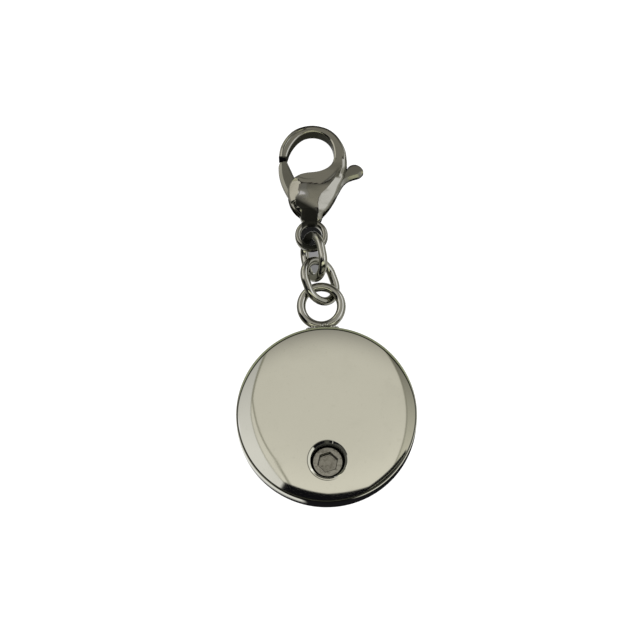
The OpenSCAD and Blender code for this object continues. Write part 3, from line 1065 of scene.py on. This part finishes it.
class CHARM_OT_lever(bpy.types.Operator):
    """Stamps the clasp's lever with its gate and thumb tab"""

    bl_idname = "charm.lever"
    bl_label = "Clasp lever"

    def execute(self, context):
        s, finish = context.scene.charm_clasp, context.scene.charm_finish
        half, bevel = s.lever / MM / 2, s.lever_bevel / MM
        lever = loft([lever_ring(outer, inner, half, bevel) for outer, inner in lever_rows()])
        combine(lever, cylinder(64, PIN_HOLE_R, 3, (*PIVOT, 0)))
        lever.matrix_world = clasp_place()
        metal, _ = steel("lever", finish.lever, finish.stain)
        finish_piece(lever, "gate_lever", "lever", "clasp_lever", metal)
        return {"FINISHED"}


class CHARM_OT_pin(bpy.types.Operator):
    """Gives the lever's hidden pin its steel"""

    bl_idname = "charm.pin"
    bl_label = "Lever pin"

    def execute(self, context):
        finish = context.scene.charm_finish
        metal, _ = steel("pin", finish.plug, finish.stain)
        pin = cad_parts["lever_pin"]
        pin.data.materials.clear()
        pin.data.materials.append(metal)
        return {"FINISHED"}


# The stage


def studio_sky(world):
    """Soft panels as polished steel sees them: overhead, left, right and in front, with dark gaps.

    Places are degrees off the zenith: across to the right, and ahead to the back of the charm.
    """
    world.use_nodes = True
    world.node_tree.nodes.clear()
    n = Nodes(world.node_tree)
    x, y, z = n.parts(n.new("TexCoord").outputs["Generated"])
    flat = n.calc("SQRT", n.line(x, x, n.line(y, y, 1e-6)))
    off = n.both(n.calc("ARCCOSINE", z), 180 / math.pi)
    per = n.calc("DIVIDE", off, flat)
    across, ahead = n.both(x, per), n.both(y, per)

    def over(a, b):
        return n.most(n.less(a, b), 0.0)

    def under(a, b):
        return n.most(n.less(b, a), 0.0)

    def tone(level, tint):
        return n.mix(level, (0, 0, 0, 1), (*tint, 1))

    def lay(mask, tint):
        nonlocal sky
        sky = n.mix(mask, sky, tint)

    # Overhead, falling off to the back
    overhead = n.within((ahead, -6, 18, 0.93, 0.78), (ahead, 20, 46, 1, 0.42), (ahead, 48, 62, 1, 0.2))
    sky = tone(overhead, (1.0, 0.975, 0.91))

    # Left panel behind a slanting edge with two thin frame lines
    edge = n.less(across, n.line(under(ahead, 14), 0.255, -16.8))
    frame_edge = n.less(across, n.calc("MINIMUM", n.line(under(ahead, 18), 0.46, -16.3), -10.0))
    lay(n.both(n.within((edge, -0.1, 0.3), (frame_edge, 0.1, -0.3)), 0.3), (0.95, 0.93, 0.88, 1))
    lay(n.step(edge, 0.3, -0.3), tone(n.step(ahead, -8, 45, 1.08, 0.55), (0.97, 0.965, 0.975)))
    for distance, width, strength in ((edge, 0.5, 0.45), (frame_edge, 0.8, 0.6)):
        mark = n.around(distance, 0.15, width, strength, 0)
        lay(n.both(mark, n.step(ahead, 40, 30)), (0.12, 0.12, 0.06, 1))

    # Grey wall to the right
    bow = n.less(ahead, 14)
    right_edge = n.less(across, n.line(n.both(bow, bow), -0.006, 21.4))
    grey = n.calc("MINIMUM", n.most(n.line(ahead, -0.0172, 0.73), 0.12), 0.78)
    lay(n.step(right_edge, -0.3, 0.4), tone(grey, (1.0, 0.98, 0.87)))
    lay(n.around(right_edge, 0.2, 0.9, 0.5, 0), (0.12, 0.12, 0.07, 1))

    # Dark gap in front, with a glint in it, and a dim wall far below
    front = n.line(over(across, 12), 0.85, n.line(under(across, 0), 0.35, -8.9))
    below = n.less(front, ahead)
    dark = n.within((below, -0.5, 0.5), (n.add(across, n.line(below, 0.55, 11.5)), -0.6, 0.6),
                    (n.less(across, n.line(under(ahead, 2.5), 1.2, 23)), 1, -1))
    lay(dark, (0.006, 0.006, 0.008, 1))
    lay(n.around(n.add(ahead, 66), 14, 9), (0.5, 0.5, 0.42, 1))
    glint = n.both(n.around(n.less(below, 3.4), 0.5, 0.1), n.step(across, 12, 14), dark)
    lay(n.both(glint, 0.35), (1.0, 1.0, 0.8, 1))

    # Bright side panels, a thin front strip and a lamp, which only the small pieces see
    side = n.most(n.line(under(ahead, 8), -0.5, 33), 18)
    back = n.step(ahead, 60, 50)
    past_left = n.add(across, side)
    to_left = n.both(n.step(past_left, 1.5, -1.5), back, n.step(across, -88, -78))
    lay(to_left, (0.85, 0.84, 0.82, 1))
    lay(n.both(to_left, n.step(across, -60, -54), n.step(ahead, 45, 40)), (2.0, 1.96, 1.9, 1))
    lay(n.within((across, -25, -30), (across, -60, -54), (ahead, 44, 48), (ahead, 68, 62)),
        (1.6, 1.6, 1.3, 1))
    lay(n.within((past_left, 3, -3), (ahead, 2, -4)), (0.012, 0.012, 0.015, 1))
    to_right = n.both(n.step(n.less(across, side), -1.5, 1.5), back, n.step(ahead, -35, -31),
                      n.step(across, 84, 74))
    bright = n.within((across, 58, 50), (ahead, -22, -8), (ahead, 50, 38))
    lay(to_right, n.mix(bright, (0.95, 0.95, 0.92, 1), (2.2, 2.22, 2.4, 1)))
    lay(n.both(n.around(n.add(ahead, 31), 8, 6.5), n.around(across, 40, 34)), (1.9, 1.92, 1.5, 1))
    lamp_x, lamp_y = n.add(across, 31.5), n.less(ahead, 11)
    from_lamp = n.calc("SQRT", n.line(lamp_x, lamp_x, n.both(lamp_y, lamp_y)))
    lay(n.step(from_lamp, 6, 1), (2.2, 2.2, 2.6, 1))

    # Below the horizon it is dim, dark straight down, and light where the floor shows on the left
    lay(n.both(n.around(across, 75, 90), n.step(off, 70, 80)), (0.12, 0.12, 0.1, 1))
    lay(n.step(off, 90, 100), (0.3, 0.3, 0.25, 1))
    lay(n.within((n.line(n.size(x), 0.6, y), -0.15, -0.3), (off, 84, 92)), NIGHT)
    lay(n.within((x, 0.25, 0.4), (z, -0.2, -0.35)), (0.9, 0.9, 0.85, 1))
    lay(n.step(z, -0.8, -0.9), NIGHT)
    lay(n.within((z, -0.7, -0.85), (z, -0.985, -0.975), (n.line(y, -0.4, x), -0.02, -0.06)),
        (0.85, 0.85, 0.82, 1))

    # Steel mirrors the panels, and everything else is lit by an even white
    mirror = n.new("Background", in_Color=sky, in_Strength=1.0).outputs[0]
    soft = n.new("Background", in_Color=WHITE, in_Strength=1.0).outputs[0]
    shown = n.new("MixShader", in_0=n.new("LightPath").outputs["Is Glossy Ray"], in_1=soft, in_2=mirror)
    n.new("OutputWorld", in_0=shown.outputs[0])


def floor_material(tint):
    """A pale glow, weaker in the small gaps within the chain, where hardly any light comes down."""
    material, n = new_material("pale_floor")
    place = n.place()
    shade = 1.0
    for (x, y), (size_x, size_y), strength in FLOOR_SPOTS:
        away = n.vector("LENGTH", n.local(place, (x, y, 0.0), (size_x * MM, size_y * MM, 1.0)))
        shade = n.both(shade, n.step(away, 1.0, 0.78, 1.0, 1.0 - strength))
    matt = n.new("BsdfDiffuse", in_Color=n.mix(shade, (0.02, 0.02, 0.02, 1), (0.35, 0.35, 0.35, 1)))
    glow = n.new("Emission", in_Color=tint, in_Strength=n.both(shade, 0.92))
    shown = n.new("AddShader", in_0=matt.outputs[0], in_1=glow.outputs[0])
    n.new("OutputMaterial", in_0=shown.outputs[0])
    return material


class CHARM_OT_stage(bpy.types.Operator):
    """Lays the pale floor, hangs the soft light and sets the camera"""

    bl_idname = "charm.stage"
    bl_label = "Stage"

    def execute(self, context):
        s, scene = context.scene.charm_stage, context.scene
        floor = start("plane", size=6)
        object_mode()
        floor.name = "floor"
        floor.location = (0, 0, -0.00002)
        floor.visible_glossy = False
        floor.data.materials.append(floor_material(s.floor))

        scene.world = bpy.data.worlds.new("studio")
        studio_sky(scene.world)

        camera = bpy.data.objects.new("camera", bpy.data.cameras.new("camera"))
        scene.collection.objects.link(camera)
        turn, height = s.azimuth, s.elevation
        level = math.cos(height)
        back = Vector((math.sin(turn) * level, -math.cos(turn) * level, math.sin(height)))
        camera.location = Vector(s.aim) + back * s.distance
        camera.rotation_euler = (-back).to_track_quat("-Z", "Y").to_euler()
        camera.data.lens = s.lens
        camera.data.sensor_width = 36
        camera.data.clip_start = 0.01
        scene.camera = camera
        scene.view_settings.view_transform = "Standard"
        return {"FINISHED"}


OPERATORS = (CHARM_OT_disc, CHARM_OT_plug, CHARM_OT_links, CHARM_OT_clasp, CHARM_OT_lever, CHARM_OT_pin,
             CHARM_OT_stage)
SETTINGS = {
    "charm_disc": DiscSettings,
    "charm_plug": PlugSettings,
    "charm_link": LinkSettings,
    "charm_clasp": ClaspSettings,
    "charm_finish": FinishSettings,
    "charm_stage": StageSettings,
}


class CHARM_PT_panel(bpy.types.Panel):
    """Lists the charm's builders in the sidebar"""

    bl_idname = "CHARM_PT_panel"
    bl_label = "Disc charm"
    bl_space_type = "VIEW_3D"
    bl_region_type = "UI"
    bl_category = "Charm"

    def draw(self, context):
        for operator in OPERATORS:
            self.layout.operator(operator.bl_idname)


CLASSES = (*SETTINGS.values(), *OPERATORS, CHARM_PT_panel)


def register():
    for cls in CLASSES:
        bpy.utils.register_class(cls)
    for name, cls in SETTINGS.items():
        setattr(bpy.types.Scene, name, bpy.props.PointerProperty(type=cls))


def unregister():
    for name in SETTINGS:
        delattr(bpy.types.Scene, name)
    for cls in reversed(CLASSES):
        bpy.utils.unregister_class(cls)


def main():
    register()
    bpy.ops.charm.disc()
    bpy.ops.charm.plug()
    bpy.ops.charm.links()
    bpy.ops.charm.clasp()
    bpy.ops.charm.lever()
    bpy.ops.charm.pin()
    bpy.ops.charm.stage()


if __name__ == "__main__":
    main()
